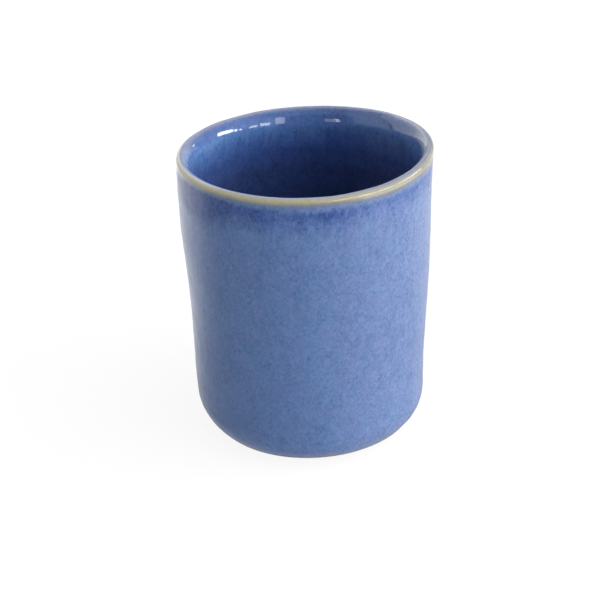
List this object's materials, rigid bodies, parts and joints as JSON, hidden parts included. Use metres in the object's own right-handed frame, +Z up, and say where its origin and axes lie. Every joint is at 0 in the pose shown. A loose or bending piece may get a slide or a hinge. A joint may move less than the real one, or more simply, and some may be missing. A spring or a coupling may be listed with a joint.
{
  "type": "shaving mug",
  "caption": "Handleless round ceramic shaving mug, open at the top, with a slightly tapered wall, sloped inner lip, rounded base, foot ring, blue glaze and a tan rim line.",
  "frame": {"origin": "centre of the foot, on the plane the mug rests on", "axes": "+Z up along the mug's axis of revolution, towards the mouth; X and Y are equivalent"},
  "size_m": [0.08, 0.08, 0.096],
  "materials": {
    "bare_stoneware": "matt unglazed buff stoneware, fine grog",
    "outside_glaze": "mottled mid blue glaze, satin gloss, darker band under the lip",
    "rim_break_glaze": "glaze thinned over the edge, fired ochre tan, glossy",
    "inside_glaze": "deep blue glaze, glossy",
    "foot_recess_glaze": "mid blue glaze, glossy"
  },
  "bodies": {
    "root": {"stoneware_body": "bare_stoneware", "outer_glaze": "outside_glaze", "rim_glaze": "rim_break_glaze", "inner_glaze": "inside_glaze", "foot_glaze": "foot_recess_glaze"}
  },
  "joints": []
}
